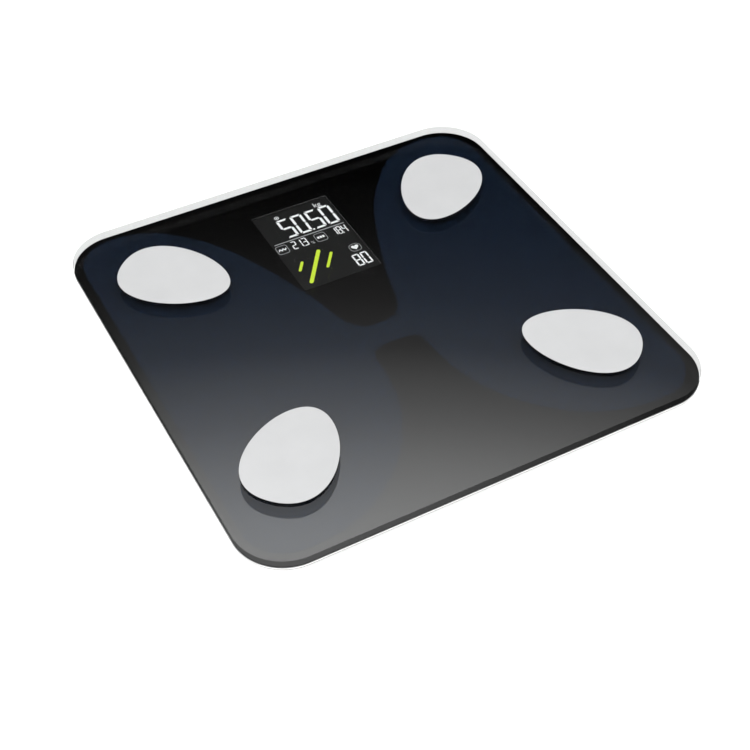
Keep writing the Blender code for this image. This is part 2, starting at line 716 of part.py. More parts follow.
# ---------------------------------------------------------------- leads
def make_leads():
    cell_wire, electrode_wire, battery_wire = 0.0008, 0.0005, 0.0007
    board_edge = BOARD_WIDTH / 2 - 0.0023
    over_cell = CELL_TOP + GAP + cell_wire
    on_board = BOARD_TOP + GAP
    under_stud = FILM_BOTTOM - 2 * GAP - electrode_wire
    for name, sx, sy in CORNERS:
        on_cell = FOOT_AT - 0.008
        edge_x = DISPLAY_X + sx * board_edge
        cell_start = [
            (sx * on_cell, sy * on_cell, over_cell),
            (sx * (on_cell - 0.006), sy * (on_cell - 0.003), 0.0148),
        ]
        stud_y = ELECTRODE_BACK_Y if sy > 0 else ELECTRODE_FRONT_Y
        stud_start = [(sx * ELECTRODE_X, stud_y, under_stud)]
        if sy > 0:
            cell_run = [(sx * 0.070, 0.0930, 0.0120), (sx * 0.050, 0.0960, 0.0122)]
            stud_run = [(sx * 0.082, 0.0820, 0.0150), (sx * 0.058, 0.0790, 0.0122)]
            cell_end_y, stud_end_y = 0.0980, 0.0830
        else:
            cell_run = [
                (sx * 0.072, -0.0780, 0.0118),
                (sx * 0.050, -0.0400, 0.0110),
                (sx * 0.0440, 0.0100, 0.0116),
                (sx * 0.0420, 0.0380, 0.0124),
            ]
            stud_run = [
                (sx * 0.084, -0.0720, 0.0145),
                (sx * 0.0620, -0.0350, 0.0125),
                (sx * 0.0520, 0.0100, 0.0120),
                (sx * 0.0480, 0.0480, 0.0126),
            ]
            cell_end_y, stud_end_y = 0.0540, 0.0680
        cell_end = [(edge_x, cell_end_y, on_board + cell_wire)]
        stud_end = [(edge_x, stud_end_y, on_board + electrode_wire)]
        wire("cell_lead_" + name, cell_start + cell_run + cell_end, cell_wire, wire_white)
        wire("electrode_lead_" + name, stud_start + stud_run + stud_end, electrode_wire, wire_red)
    wall_y = BAY_Y + BAY_DEPTH / 2
    board_y = BOARD_Y - BOARD_DEPTH / 2 + 0.0040
    for name, x in battery_lead_places():
        end_x = DISPLAY_X + (0.006 if x > 0 else -0.022)
        route = [
            (x, wall_y, BATTERY_Z),
            (x, wall_y + 0.0050, BATTERY_Z),
            ((x + end_x) / 2, wall_y + 0.0120, 0.0135),
            (end_x, board_y - 0.0060, 0.0145),
            (end_x, board_y, on_board + battery_wire),
        ]
        wire("battery_lead_" + name, route, battery_wire, wire_red if x < 0 else wire_black)


# ---------------------------------------------------------------- building it
clear_scene()
parts = new_collection("bathroom_scale")
cutters = new_collection("cutters")
cutters.hide_render = True

glass_clear = material("glass_clear", (0.90, 0.95, 0.94), 0.02, transmission=1.0)
ink_black = material("ink_black", (0.008, 0.008, 0.009), 0.12)
foam_white = material("foam_white", (0.75, 0.75, 0.74), 0.9)
steel_satin = material("steel_satin", (0.74, 0.75, 0.76), 0.32, 0.9)
steel_plated = material("steel_plated", (0.62, 0.62, 0.60), 0.38, 1.0)
abs_white = material("abs_white", (0.80, 0.80, 0.79), 0.5)
abs_grey = material("abs_grey", (0.22, 0.23, 0.24), 0.55)
abs_black = material("abs_black", (0.02, 0.02, 0.022), 0.5)
rubber_black = material("rubber_black", (0.025, 0.025, 0.027), 0.85)
lcd_dark = material("lcd_dark", (0.018, 0.019, 0.019), 0.15)
diffuser_white = material("diffuser_white", (0.86, 0.87, 0.88), 0.4)
board_green = material("board_green", (0.02, 0.16, 0.07), 0.45)
epoxy_black = material("epoxy_black", (0.015, 0.015, 0.015), 0.4)
battery_jacket = material("battery_jacket", (0.05, 0.09, 0.20), 0.35, 0.3)
wire_white = material("wire_white", (0.78, 0.78, 0.76), 0.5)
wire_red = material("wire_red", (0.50, 0.03, 0.03), 0.5)
wire_black = material("wire_black", (0.02, 0.02, 0.02), 0.5)

make_platform()
make_electrodes()

tray = make_tray_shell()
add_corner_pockets()
add_board_posts()
add_battery_bay()
add_tray_ribs()
add_button_hole()
add_underside_relief()
place(tray, parts, abs_white)

make_corner_units()
make_display()
make_board()
make_unit_button()
make_batteries()
make_contacts()
make_door()
make_leads()
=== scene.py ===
"""Looks of the digital bathroom scale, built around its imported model. Metres, +Z up, +Y to the
display side, origin on the floor under the middle of the platform."""

from math import cos, pi, radians, sin

import bmesh
import bpy
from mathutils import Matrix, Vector
from mathutils.geometry import interpolate_bezier


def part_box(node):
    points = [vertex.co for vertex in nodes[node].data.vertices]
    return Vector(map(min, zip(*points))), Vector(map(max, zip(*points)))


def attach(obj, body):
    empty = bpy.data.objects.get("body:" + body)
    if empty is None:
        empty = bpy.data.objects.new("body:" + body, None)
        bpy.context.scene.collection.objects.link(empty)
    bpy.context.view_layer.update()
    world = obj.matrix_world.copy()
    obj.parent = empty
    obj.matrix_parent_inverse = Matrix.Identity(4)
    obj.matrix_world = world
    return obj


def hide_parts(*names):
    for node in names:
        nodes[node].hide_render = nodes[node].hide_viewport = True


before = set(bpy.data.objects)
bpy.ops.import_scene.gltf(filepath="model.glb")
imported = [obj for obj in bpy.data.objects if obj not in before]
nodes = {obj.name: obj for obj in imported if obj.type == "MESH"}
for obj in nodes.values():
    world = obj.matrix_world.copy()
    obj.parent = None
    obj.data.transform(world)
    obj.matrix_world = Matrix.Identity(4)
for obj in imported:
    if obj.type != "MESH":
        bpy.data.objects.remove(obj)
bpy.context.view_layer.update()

# ---------------------------------------------------------------- sizes and places
MM = 0.001
CORNERS = (("back_left", -1, 1), ("back_right", 1, 1), ("front_left", -1, -1), ("front_right", 1, -1))

glass_low, glass_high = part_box("glass_platform")
film_low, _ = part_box("print_film")
rim_low, rim_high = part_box("rim_frame")
panel_low, panel_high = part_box("display_panel")
GLASS_SIDE = glass_high.x - glass_low.x
GLASS_CORNER = 0.031
GLASS_ARRIS = 0.00045
GLASS_INDEX = 1.01
PRINT_INSET = film_low.x - glass_low.x
PRINT_SIDE = GLASS_SIDE - 2 * PRINT_INSET
PRINT_CORNER = GLASS_CORNER - PRINT_INSET
RIM_INSET = rim_low.x - glass_low.x
RIM_WIDTH = 0.0225
# The lip of the rim is glued to the glass with no air between, so it reaches this far into it.
BOND = 0.00005
# The print is drawn this far up in the glass, where the photograph shows it.
INK_DEPTH = 0.0008
STUD_HOLE = 0.0025
STUD_RADIUS = 0.0015
ELECTRODE_THICK = 0.0012
ELECTRODE_ROUNDING = 0.00085
GLUE_INSET = 0.0004
GLUE_HOLE = 0.0019
# Pieces drawn one on the other keep this far apart.
LAYER = 0.00002

# The artwork and the display share one centre line.
ART_X = (panel_low.x + panel_high.x) / 2
WINDOW_Y = (panel_low.y + panel_high.y) / 2
WINDOW_WIDTH = 0.0551
WINDOW_DEPTH = 0.0805
WINDOW_CORNER = 0.0012
# The funnels are drawn as they look through a refracting plate. Their places straight below the
# glass lie this much further out and back.
FUNNEL_STRETCH = 1.0054
FUNNEL_SHIFT = 0.0024

CAMERA_AZIMUTH = -28.47
CAMERA_ELEVATION = 45.21
CAMERA_DISTANCE = 0.8133
CAMERA_TARGET = Vector((-0.0268, -0.0499, glass_high.z))
CAMERA_LENS = 66.72

# What the glass mirrors: light level by degrees above the horizon, and how far the screen reaches.
SCREEN_LEVELS = (
    (0.0, 0.006), (37.0, 0.006), (39.2, 0.024), (40.9, 0.058), (42.0, 0.090), (44.0, 0.19),
    (46.2, 0.51), (47.1, 0.66), (49.1, 1.11), (50.0, 1.30), (51.1, 1.52), (52.2, 1.68), (90.0, 1.68),
)
SCREEN_FADE_START = 42.0
SCREEN_FADE_END = 62.0
ROOM_LEVEL = 1.0


# ---------------------------------------------------------------- shader helpers
def shader_of(name, colour, roughness, metallic=0.0, ior=1.5):
    made = bpy.data.materials.new(name)
    made.use_nodes = True
    shader = made.node_tree.nodes["Principled BSDF"]
    shader.inputs["Base Color"].default_value = (*colour, 1.0)
    shader.inputs["Roughness"].default_value = roughness
    shader.inputs["Metallic"].default_value = metallic
    shader.inputs["IOR"].default_value = ior
    return made, shader


def add(made, kind, **values):
    node = made.node_tree.nodes.new(kind)
    for name, value in values.items():
        setattr(node, name, value)
    return node


def wire_up(made, source, target):
    made.node_tree.links.new(source, target)


def object_noise(made, scale, detail=3.0, stretch=(1.0, 1.0, 1.0), turn=0.0, rough=0.5):
    """Noise in the object's own metres: scale is in cells per metre."""
    place = add(made, "ShaderNodeTexCoord")
    mapping = add(made, "ShaderNodeMapping")
    mapping.inputs["Scale"].default_value = stretch
    mapping.inputs["Rotation"].default_value = (0.0, 0.0, turn)
    noise = add(made, "ShaderNodeTexNoise")
    noise.inputs["Scale"].default_value = scale
    noise.inputs["Detail"].default_value = detail
    noise.inputs["Roughness"].default_value = rough
    wire_up(made, place.outputs["Object"], mapping.inputs["Vector"])
    wire_up(made, mapping.outputs["Vector"], noise.inputs["Vector"])
    return noise.outputs["Fac"]


def ranged(made, value, low, high, start=0.3, end=0.7):
    spread = add(made, "ShaderNodeMapRange")
    spread.inputs["From Min"].default_value = start
    spread.inputs["From Max"].default_value = end
    spread.inputs["To Min"].default_value = low
    spread.inputs["To Max"].default_value = high
    wire_up(made, value, spread.inputs["Value"])
    return spread.outputs["Result"]


def mixed(made, factor, first, second):
    mix = add(made, "ShaderNodeMix", data_type="RGBA")
    for socket, colour in (("A", first), ("B", second)):
        target = [s for s in mix.inputs if s.name == socket and s.type == "RGBA"][0]
        if isinstance(colour, tuple):
            target.default_value = (*colour, 1.0)
        else:
            wire_up(made, colour, target)
    wire_up(made, factor, mix.inputs["Factor"])
    return [s for s in mix.outputs if s.type == "RGBA"][0]


def bumped(made, shader, height, strength, distance):
    bump = add(made, "ShaderNodeBump")
    bump.inputs["Strength"].default_value = strength
    bump.inputs["Distance"].default_value = distance
    wire_up(made, height, bump.inputs["Height"])
    wire_up(made, bump.outputs["Normal"], shader.inputs["Normal"])


# ---------------------------------------------------------------- materials
def moulded_plastic(name, colour, roughness, grain=2600.0, depth=0.00003):
    """Moulded plastic: a fine spark-eroded grain, and slow cloudiness in colour and gloss."""
    made, shader = shader_of(name, colour, roughness)
    cloud = object_noise(made, 22.0, 4.0)
    darker = tuple(c * 0.93 for c in colour)
    wire_up(made, mixed(made, ranged(made, cloud, 0.0, 1.0), colour, darker), shader.inputs["Base Color"])
    scuff = object_noise(made, 240.0, 5.0)
    wire_up(made, ranged(made, scuff, roughness - 0.07, roughness + 0.09), shader.inputs["Roughness"])
    bumped(made, shader, object_noise(made, grain, 2.0), 0.35, depth)
    return made


def rubber(name, colour):
    made, shader = shader_of(name, colour, 0.82)
    dust = object_noise(made, 160.0, 6.0, rough=0.65)
    dusty = tuple(c + 0.022 for c in colour)
    shade = mixed(made, ranged(made, dust, 0.0, 1.0, 0.45, 0.7), colour, dusty)
    wire_up(made, shade, shader.inputs["Base Color"])
    wire_up(made, ranged(made, dust, 0.74, 0.92), shader.inputs["Roughness"])
    bumped(made, shader, object_noise(made, 1400.0, 3.0), 0.5, 0.00006)
    return made


def metal(name, colour, roughness, metallic=1.0, turn=0.0, grain=(1.0, 24.0, 1.0), scale=260.0):
    """Brushed or rolled metal: fine lines one way, with a slight cloudiness."""
    made, shader = shader_of(name, colour, roughness, metallic)
    lines = object_noise(made, scale, 3.0, grain, turn)
    cloud = object_noise(made, 45.0, 3.0)
    wire_up(made, ranged(made, lines, roughness - 0.05, roughness + 0.07), shader.inputs["Roughness"])
    darker = tuple(c * 0.95 for c in colour)
    wire_up(made, mixed(made, ranged(made, cloud, 0.0, 1.0), colour, darker), shader.inputs["Base Color"])
    bumped(made, shader, lines, 0.12, 0.00001)
    return made


def polished_metal(name, colour, roughness):
    """Polished metal with faint buffing lines. The electrodes' sides take it in near-black, as painted
    shade.
    """
    made, shader = shader_of(name, colour, roughness, 1.0)
    lines = object_noise(made, 700.0, 3.0, (1.0, 1.0, 12.0))
    wire_up(made, ranged(made, lines, roughness - 0.04, roughness + 0.05), shader.inputs["Roughness"])
    darker = tuple(c * 0.96 for c in colour)
    wire_up(made, mixed(made, ranged(made, lines, 0.0, 1.0), colour, darker), shader.inputs["Base Color"])
    return made


def printed_ink(name, colour, ior):
    """Ink printed on the back of the glass: glossy, with a very faint fleck of metal pigment."""
    made, shader = shader_of(name, colour, 0.02, ior=ior)
    fleck = object_noise(made, 900.0, 2.0)
    lighter = tuple(c * 1.18 for c in colour)
    wire_up(made, mixed(made, ranged(made, fleck, 0.0, 1.0), colour, lighter), shader.inputs["Base Color"])
    haze = object_noise(made, 30.0, 4.0)
    wire_up(made, ranged(made, haze, 0.015, 0.035), shader.inputs["Roughness"])
    return made


def clear_glass(name, ior, mirror, tint):
    """Polished toughened glass: clear, with traces of wiping in its gloss. Its shine is a coat, so
    that what lies below the glass is seen almost straight, as in the photograph."""
    made, shader = shader_of(name, tint, 0.0, ior=ior)
    shader.inputs["Transmission Weight"].default_value = 1.0
    wiped = object_noise(made, 16.0, 5.0, (1.0, 3.5, 1.0), 0.6)
    gloss = ranged(made, wiped, 0.0, 0.012, 0.5, 0.8)
    wire_up(made, gloss, shader.inputs["Roughness"])
    wire_up(made, gloss, shader.inputs["Coat Roughness"])
    shader.inputs["Coat Weight"].default_value = mirror
    return made


def lit(name, colour, ior=1.5):
    """A lit part of the display: dark in itself, and a little uneven, as a light guide is."""
    made, shader = shader_of(name, tuple(c * 0.12 for c in colour), 0.35, ior=ior)
    glow = object_noise(made, 120.0, 2.0)
    dimmer = tuple(c * 0.92 for c in colour)
    shade = mixed(made, ranged(made, glow, 0.0, 1.0), colour, dimmer)
    wire_up(made, shade, shader.inputs["Emission Color"])
    shader.inputs["Emission Strength"].default_value = 1.0
    return made


# ---------------------------------------------------------------- outlines
def arc(centre_x, centre_y, radius, start, end, steps):
    turns = [radians(start + (end - start) * i / steps) for i in range(steps + 1)]
    return [(centre_x + radius * cos(t), centre_y + radius * sin(t)) for t in turns]


def rounded_rect(width, depth, radius, at=(0.0, 0.0), steps=12):
    dx, dy = width / 2 - radius, depth / 2 - radius
    points = []
    for quarter, (sx, sy) in enumerate(((1, 1), (-1, 1), (-1, -1), (1, -1))):
        start = 90 * quarter
        points += arc(at[0] + sx * dx, at[1] + sy * dy, radius, start, start + 90, steps)
    return points


def circle(radius, at=(0.0, 0.0), steps=32):
    return arc(at[0], at[1], radius, 0, 360, steps)[:-1]


def smooth_through(points, steps=8):
    """An open smooth curve through 2D points."""
    route = [Vector(p) for p in points]
    ends = [route[0] * 2 - route[1]] + route + [route[-1] * 2 - route[-2]]
    path = []
    for before, a, b, after in zip(ends, ends[1:], ends[2:], ends[3:]):
        start, end = a + (b - before) / 6, b - (after - a) / 6
        path += [(p.x, p.y) for p in interpolate_bezier(a, start, end, b, steps + 1)[:-1]]
    path.append(tuple(points[-1]))
    return path


def egg_outline(inset=0.0, steps=28):
    """Outline of an electrode, as the CAD has it, drawn in by inset."""
    blunt, widest_x, half_width, narrow = 0.0331, 0.0038, 0.0266, -0.0393
    knots = (
        ((blunt, 0.0), (0.0, 0.0183), (0.0, -0.0183)),
        ((widest_x, half_width), (-0.0207, 0.0), (0.0169, 0.0)),
        ((narrow, 0.0), (0.0, -0.0138), (0.0, 0.0138)),
        ((widest_x, -half_width), (0.0169, 0.0), (-0.0207, 0.0)),
    )
    shrink = 1.0 - inset / half_width
    points = []
    for (start, leaving, _), (end, _, arriving) in zip(knots, knots[1:] + knots[:1]):
        a, b = Vector(start), Vector(end)
        run = interpolate_bezier(a, a + Vector(leaving), b + Vector(arriving), b, steps + 1)
        points += [(p.x * shrink, p.y * shrink) for p in run[:-1]]
    return points


def placed(outline, at, turn=0.0):
    c, s = cos(turn), sin(turn)
    return [(at[0] + x * c - y * s, at[1] + x * s + y * c) for x, y in outline]


# ---------------------------------------------------------------- pieces
def slab(name, loops, bottom, top, surface):
    """A flat piece from closed 2D outlines; an outline inside another is a hole."""
    curve = bpy.data.curves.new(name, "CURVE")
    curve.dimensions = "2D"
    curve.fill_mode = "BOTH"
    curve.extrude = (top - bottom) / 2
    for loop in loops:
        spline = curve.splines.new("POLY")
        spline.points.add(len(loop) - 1)
        spline.use_cyclic_u = True
        for point, (x, y) in zip(spline.points, loop):
            point.co = (x, y, 0.0, 1.0)
    outline = bpy.data.objects.new(name + "_outline", curve)
    bpy.context.scene.collection.objects.link(outline)
    graph = bpy.context.evaluated_depsgraph_get()
    mesh = bpy.data.meshes.new_from_object(outline.evaluated_get(graph))
    bpy.data.objects.remove(outline)
    mesh.name = name
    bm = bmesh.new()
    bm.from_mesh(mesh)
    bmesh.ops.remove_doubles(bm, verts=bm.verts, dist=1e-7)
    bmesh.ops.translate(bm, vec=(0.0, 0.0, (bottom + top) / 2), verts=bm.verts)
    bmesh.ops.recalc_face_normals(bm, faces=bm.faces)
    bm.to_mesh(mesh)
    bm.free()
    piece = bpy.data.objects.new(name, mesh)
    bpy.context.scene.collection.objects.link(piece)
    mesh.materials.clear()
    mesh.materials.append(surface)
    return piece


def round_rim(piece, width, segments, heights, inside=None):
    """Rounds the sharp level edges at these heights, or those of them that a test picks."""
    bm = bmesh.new()
    bm.from_mesh(piece.data)
    chosen = []
    for edge in bm.edges:
        a, b = (v.co for v in edge.verts)
        level = any(abs(a.z - z) < 1e-6 and abs(b.z - z) < 1e-6 for z in heights)
        if level and edge.calc_face_angle(0.0) > 0.8 and (inside is None or inside(a)):
            chosen.append(edge)
    bmesh.ops.bevel(
        bm, geom=chosen, offset=width, segments=segments, profile=0.5, affect="EDGES", clamp_overlap=True
    )
    bmesh.ops.recalc_face_normals(bm, faces=bm.faces)
    bm.to_mesh(piece.data)
    bm.free()


def smooth(piece, angle=40):
    """Smooth shading for walls and rounded rims, while level faces stay truly flat."""
    mesh = piece.data
    mesh.shade_smooth()
    mesh.set_sharp_from_angle(angle=radians(angle))
    for face in mesh.polygons:
        if abs(face.normal.z) > 0.9995:
            face.use_smooth = False


def electrode_places():
    """Centre and turn of each electrode, read from its CAD node."""
    found = []
    for name, sx, sy in CORNERS:
        low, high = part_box("electrode_" + name)
        turn = {(1, 1): 45, (-1, 1): 135, (-1, -1): 225, (1, -1): 315}[(sx, sy)]
        outline = placed(egg_outline(), (0.0, 0.0), radians(turn))
        middle_x = (max(p[0] for p in outline) + min(p[0] for p in outline)) / 2
        middle_y = (max(p[1] for p in outline) + min(p[1] for p in outline)) / 2
        at = ((low.x + high.x) / 2 - middle_x, (low.y + high.y) / 2 - middle_y)
        found.append((name, at, radians(turn)))
    return found


def make_glass():
    edge = rounded_rect(GLASS_SIDE, GLASS_SIDE, GLASS_CORNER, steps=48)
    holes = [circle(STUD_HOLE, at, 24) for _, at, _ in electrode_places()]
    body = clear_glass("glass", GLASS_INDEX, 1.0, (0.985, 0.995, 0.99))
    glass = slab("glass_plate", [edge] + holes, glass_low.z, glass_high.z, body)
    near_edge = GLASS_SIDE / 2 - GLASS_CORNER

    def outside(point):
        return max(abs(point.x), abs(point.y)) > near_edge

    round_rim(glass, GLASS_ARRIS, 4, (glass_low.z, glass_high.z), outside)
    smooth(glass, 30)
    # The walls and rounded arrises get a much darker copy of the glass: painted shade that dims what is
    # seen through the edge.
    glass.data.materials.append(clear_glass("glass_edge_painted_shade", GLASS_INDEX, 0.0, (0.36, 0.365, 0.365)))
    for face in glass.data.polygons:
        face.material_index = 0 if abs(face.normal.z) > 0.9995 else 1
    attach(glass, "platform")
    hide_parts("glass_platform")


def lobe_loop():
    """Outline of the navy print: two lobes that meet between a back and a front black funnel."""
    side, back, front, corner = 0.1434, 0.1459, -0.1413, 0.026
    back_funnel = [
        (0.0, -9.65), (8.2, -8.7), (13.9, -5.0), (17.7, 0.6), (21.1, 9.75), (25.8, 29.75), (36.4, 59.75),
        (49.6, 89.75), (62.2, 109.75), (80.6, 129.75), (97.0, 139.75), (110.0, 142.75),
    ]
    front_funnel = [
        (110.0, -142.9), (90.8, -140.5), (66.9, -130.5), (43.5, -110.5), (30.0, -90.5), (21.5, -70.5),
        (18.0, -50.5), (17.3, -38.0), (15.6, -31.5), (10.6, -28.1), (0.0, -26.9),
    ]

    def spot(x, y):
        return (x * MM * FUNNEL_STRETCH, y * MM * FUNNEL_STRETCH + FUNNEL_SHIFT)

    right = smooth_through([spot(x, y) for x, y in back_funnel])
    right += arc(side - corner, back - corner, corner, 90, 0, 16)
    right += arc(side - corner, front + corner, corner, 0, -90, 16)
    right += smooth_through([spot(x, y) for x, y in front_funnel])
    left = [(-x, y) for x, y in reversed(right[1:-1])]
    return [(ART_X + x, y) for x, y in right + left]


def make_print():
    black = printed_ink("ink_black", (0.0003, 0.0003, 0.0003), 1.85)
    navy = printed_ink("ink_navy", (0.0042, 0.0082, 0.0168), 1.76)
    edge = rounded_rect(PRINT_SIDE, PRINT_SIDE, PRINT_CORNER, steps=40)
    window = rounded_rect(WINDOW_WIDTH, WINDOW_DEPTH, WINDOW_CORNER, (ART_X, WINDOW_Y), 6)
    holes = [circle(STUD_HOLE, at, 24) for _, at, _ in electrode_places()]
    ink_top = glass_low.z + INK_DEPTH
    film = slab("print_black", [edge, window] + holes, film_low.z, ink_top, black)
    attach(film, "platform")
    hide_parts("print_film")
    thick = 0.00003
    loops = [lobe_loop()] + holes
    lobes = slab("print_lobes", loops, ink_top + LAYER, ink_top + LAYER + thick, navy)
    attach(lobes, "platform")


def make_rim():
    """The pale rim under the glass edge. Its lip is glued up against the clear strip of the glass."""
    # seam is the height of the band of painted shade along the rim's lower edge.
    rounding, steps, shaded_band = 0.0001, 4, 0.00045
    turns = [radians(90 * i / steps) for i in range(steps + 1)]
    profile = [
        (RIM_INSET + rounding * (1 - sin(t)), rim_low.z + rounding * (1 - cos(t))) for t in turns
    ]
    lip_top, lip_inset = glass_low.z + BOND, PRINT_INSET - 0.00005
    inner = RIM_INSET + RIM_WIDTH
    profile += [(RIM_INSET, rim_low.z + shaded_band), (RIM_INSET, lip_top), (lip_inset, lip_top)]
    profile += [(lip_inset, rim_high.z), (inner, rim_high.z), (inner, rim_low.z)]
    bm = bmesh.new()
    loops = []
    for inset, height in profile:
        side = GLASS_SIDE - 2 * inset
        outline = rounded_rect(side, side, GLASS_CORNER - inset, steps=40)
        loops.append([bm.verts.new((x, y, height)) for x, y in outline])
    for loop, following in zip(loops, loops[1:] + loops[:1]):
        for i, vertex in enumerate(loop):
            j = (i + 1) % len(loop)
            bm.faces.new((vertex, loop[j], following[j], following[i]))
    bmesh.ops.recalc_face_normals(bm, faces=bm.faces)
    mesh = bpy.data.meshes.new("rim_band")
    bm.to_mesh(mesh)
    bm.free()
    mesh.materials.append(moulded_plastic("rim_white", (0.93, 0.93, 0.93), 0.4))
    # The lowest band of the rim, where its underside falls into shadow, is painted near-black: painted
    # shade.
    mesh.materials.append(moulded_plastic("rim_painted_shade", (0.08, 0.08, 0.08), 0.6))
    for face in mesh.polygons:
        in_painted_shade = face.center.z < rim_low.z + shaded_band and face.normal.z > -0.99
        face.material_index = 1 if in_painted_shade else 0
    rim = bpy.data.objects.new("rim_band", mesh)
    bpy.context.scene.collection.objects.link(rim)
    smooth(rim, 40)
    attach(rim, "platform")
    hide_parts("rim_frame")


def make_electrodes():
    steel = metal(
        "electrode_steel", (0.61, 0.615, 0.62), 0.45, metallic=0.2, grain=(1.0, 30.0, 1.0), scale=420.0
    )
    # Painted light on the electrodes: the upper faces of the rounded rim take a near-white copy of the
    # steel as a painted highlight, and the steep sides a near-black metal as painted shade.
    painted_highlight = metal("electrode_painted_highlight", (0.95, 0.95, 0.95), 0.3, metallic=0.2)
    dark = polished_metal("electrode_painted_shade", (0.03, 0.03, 0.032), 0.22)
    glue = rubber("electrode_glue", (0.012, 0.012, 0.013))
    highlight_above = 0.68
    for name, at, turn in electrode_places():
        low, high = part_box("electrode_" + name)
        top = high.z
        bottom = top - ELECTRODE_THICK
        plate = slab("electrode_plate_" + name, [placed(egg_outline(), at, turn)], bottom, top, steel)
        round_rim(plate, ELECTRODE_ROUNDING, 4, (top,))
        smooth(plate, 30)
        plate.data.materials.append(painted_highlight)
        plate.data.materials.append(dark)
        # Flat faces keep the satin steel; the upper rounding takes the painted highlight, and the rest the
        # painted shade.
        for face in plate.data.polygons:
            up = face.normal.z
            if abs(up) < 0.9995:
                face.material_index = 1 if up > highlight_above else 2
        stud_loop = circle(STUD_RADIUS, at, 20)
        stud = slab("electrode_stud_" + name, [stud_loop], low.z, bottom - LAYER, steel)
        smooth(stud, 30)
        pad = slab(
            "electrode_glue_" + name,
            [placed(egg_outline(GLUE_INSET), at, turn), circle(GLUE_HOLE, at, 20)],
            glass_high.z + LAYER,
            bottom - LAYER,
            glue,
        )
        for piece, slot in ((plate, "steel_satin"), (stud, "steel_satin"), (pad, "rubber_black")):
            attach(piece, "platform")
        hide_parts("electrode_" + name)


# ---------------------------------------------------------------- display
def digit_loops(character, at, width, height, stroke):
    """Lit segments of one seven-segment digit, its lower left corner at a point."""
    gap = stroke * 0.10
    cut = stroke * 0.45
    half = height / 2
    inner = width - stroke
    shapes = {
        "a": [
            (cut, height), (width - cut, height),
            (inner - gap, height - stroke), (stroke + gap, height - stroke),
        ],
        "d": [(cut, 0.0), (stroke + gap, stroke), (inner - gap, stroke), (width - cut, 0.0)],
        "f": [
            (0.0, height - cut), (stroke, height - stroke - gap), (stroke, half + stroke * 0.5 + gap),
            (stroke * 0.5, half + gap), (0.0, half + stroke * 0.4 + gap),
        ],
        "g": [
            (stroke * 0.5 + gap, half), (stroke + gap, half + stroke * 0.5),
            (inner - gap, half + stroke * 0.5), (width - stroke * 0.5 - gap, half),
            (inner - gap, half - stroke * 0.5), (stroke + gap, half - stroke * 0.5),
        ],
    }
    shapes["e"] = [(x, height - y) for x, y in shapes["f"]]
    shapes["b"] = [(width - x, y) for x, y in shapes["f"]]
    shapes["c"] = [(width - x, y) for x, y in shapes["e"]]
    lit_segments = {
        "0": "abcdef", "1": "bc", "2": "abged", "3": "abgcd", "4": "fgbc",
        "5": "afgcd", "8": "abcdefg",
    }[character]
    return [[(at[0] + x, at[1] + y) for x, y in shapes[s]] for s in lit_segments]


def number_loops(text, starts, bottom, width, height, stroke):
    """A number whose digits start at these places; a point sits in the gap before its digit."""
    loops = []
    place = 0
    for character in text:
        if character == ".":
            middle = (starts[place - 1] + width + starts[place]) / 2
            dot = stroke * 0.8
            loops.append(rounded_rect(dot, dot, dot / 4, (middle, bottom + dot / 2), 3))
            continue
        loops += digit_loops(character, (starts[place], bottom), width, height, stroke)
        place += 1
    return loops


def capsule(start, end, width):
    a, b = Vector(start), Vector(end)
    middle, along = (a + b) / 2, b - a
    turn = Vector((1.0, 0.0)).angle_signed(along) * -1
    shape = rounded_rect(along.length + width, width, width / 2 * 0.98, steps=8)
    return placed(shape, middle, turn)


def frame_loops(width, height, radius, line, at):
    outer = rounded_rect(width, height, radius, at, 8)
    inner = rounded_rect(width - 2 * line, height - 2 * line, radius - line, at, 8)
    return [outer, inner]


def heart_loop(size, at, steps=40):
    points = []
    for i in range(steps):
        t = 2 * pi * i / steps
        x = 16 * sin(t) ** 3
        y = 13 * cos(t) - 5 * cos(2 * t) - 2 * cos(3 * t) - cos(4 * t)
        points.append((at[0] + x * size / 34, at[1] + y * size / 34))
    return points


def zigzag_loop(width, height, line, at, turns=5):
    """A zigzag band, as one closed outline."""
    crest = [(at[0] + width * (i / turns - 0.5), at[1] + height * (i % 2 - 0.5)) for i in range(turns + 1)]
    return [(x, y + line / 2) for x, y in crest] + [(x, y - line / 2) for x, y in reversed(crest)]


def text_piece(name, body, size, at, surface, bottom, top):
    curve = bpy.data.curves.new(name, "FONT")
    curve.body = body
    curve.size = size
    curve.align_x = "CENTER"
    curve.extrude = (top - bottom) / 2
    curve.offset = size * 0.012
    text = bpy.data.objects.new(name + "_text", curve)
    bpy.context.scene.collection.objects.link(text)
    graph = bpy.context.evaluated_depsgraph_get()
    mesh = bpy.data.meshes.new_from_object(text.evaluated_get(graph))
    bpy.data.objects.remove(text)
    bm = bmesh.new()
    bm.from_mesh(mesh)
    bmesh.ops.remove_doubles(bm, verts=bm.verts, dist=1e-7)
    bmesh.ops.translate(bm, vec=(at[0], at[1], (bottom + top) / 2), verts=bm.verts)
    bm.to_mesh(mesh)
    bm.free()
    mesh.materials.clear()
    mesh.materials.append(surface)
    piece = bpy.data.objects.new(name, mesh)
    bpy.context.scene.collection.objects.link(piece)
    return piece


